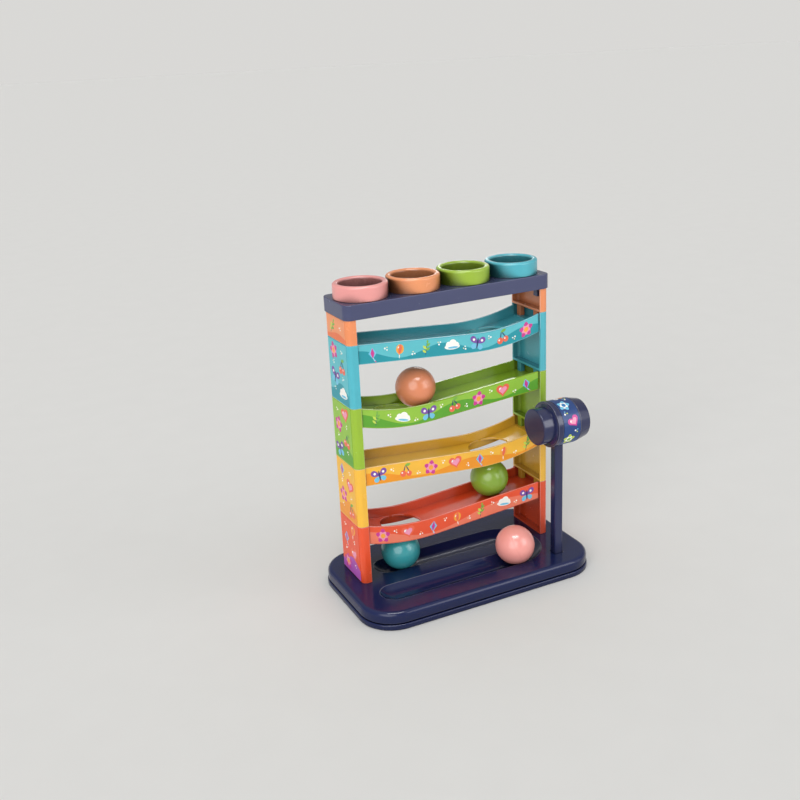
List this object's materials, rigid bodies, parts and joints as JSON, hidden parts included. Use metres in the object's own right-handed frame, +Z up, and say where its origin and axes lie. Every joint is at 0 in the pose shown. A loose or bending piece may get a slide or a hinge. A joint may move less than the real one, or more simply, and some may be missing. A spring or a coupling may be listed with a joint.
{
  "type": "pound-a-ball tower",
  "caption": "Free-standing plastic toy tower: balls drop through rings in a top bar, roll down curved troughs that fall to alternate sides and run out along a U-shaped lane, with a hammer.",
  "frame": {"origin": "middle of the base's underside", "axes": "+Z up, +X to the hammer's side, +Y to the tower's back"},
  "size_m": [0.224, 0.126, 0.2758],
  "materials": {
    "plastic_navy": "gloss moulded",
    "plastic_orange": "gloss moulded",
    "plastic_teal": "gloss moulded",
    "plastic_green": "gloss moulded",
    "plastic_yellow": "gloss moulded",
    "plastic_red": "gloss moulded",
    "plastic_pink": "gloss moulded",
    "label_navy": "printed film",
    "label_orange": "printed film",
    "label_teal": "printed film",
    "label_green": "printed film",
    "label_yellow": "printed film",
    "label_red": "printed film",
    "plated_steel": "zinc plated"
  },
  "bodies": {
    "tower": {"base_tray": "plastic_navy", "base_deck": "plastic_navy", "base_screw_1": "plated_steel", "base_screw_2": "plated_steel", "base_screw_3": "plated_steel", "base_screw_4": "plated_steel", "post_left_red": "plastic_red", "post_left_yellow": "plastic_yellow", "post_left_green": "plastic_green", "post_left_teal": "plastic_teal", "post_left_orange": "plastic_orange", "post_right_red": "plastic_red", "post_right_yellow": "plastic_yellow", "post_right_green": "plastic_green", "post_right_teal": "plastic_teal", "post_right_orange": "plastic_orange", "post_label_left_red": "label_red", "post_label_left_yellow": "label_yellow", "post_label_left_green": "label_green", "post_label_left_teal": "label_teal", "post_label_left_orange": "label_orange", "post_label_right_red": "label_red", "post_label_right_yellow": "label_yellow", "post_label_right_green": "label_green", "post_label_right_teal": "label_teal", "post_label_right_orange": "label_orange", "ramp_teal": "plastic_teal", "ramp_green": "plastic_green", "ramp_yellow": "plastic_yellow", "ramp_red": "plastic_red", "ramp_label_teal": "label_teal", "ramp_label_green": "label_green", "ramp_label_yellow": "label_yellow", "ramp_label_red": "label_red", "top_bar": "plastic_navy", "ring_pink": "plastic_pink", "ring_orange": "plastic_orange", "ring_green": "plastic_green", "ring_teal": "plastic_teal"},
    "ball_orange": {"ball_orange": "plastic_orange"},
    "ball_green": {"ball_green": "plastic_green"},
    "ball_teal": {"ball_teal": "plastic_teal"},
    "ball_pink": {"ball_pink": "plastic_pink"},
    "hammer": {"hammer_handle": "plastic_navy", "hammer_barrel": "plastic_navy", "hammer_cap_left": "plastic_navy", "hammer_cap_right": "plastic_navy", "hammer_label": "label_navy"}
  },
  "joints": [
    {"name": "ball_orange_roll", "type": "slide", "parent": "tower", "child": "ball_orange", "axis": [0.9972, 0, 0.075], "range_m": [0, 0.0955]},
    {"name": "ball_green_roll", "type": "slide", "parent": "tower", "child": "ball_green", "axis": [0.9972, 0, 0.075], "range_m": [-0.0718, 0.0237]},
    {"name": "ball_teal_roll", "type": "slide", "parent": "tower", "child": "ball_teal", "axis": [1, 0, 0], "range_m": [-0.0133, 0.0924]},
    {"name": "ball_pink_roll", "type": "slide", "parent": "tower", "child": "ball_pink", "axis": [-1, 0, 0], "range_m": [0, 0.1196]},
    {"name": "hammer_lift", "type": "slide", "parent": "tower", "child": "hammer", "axis": [0, 0, 1], "range_m": [0, 0.06]}
  ]
}
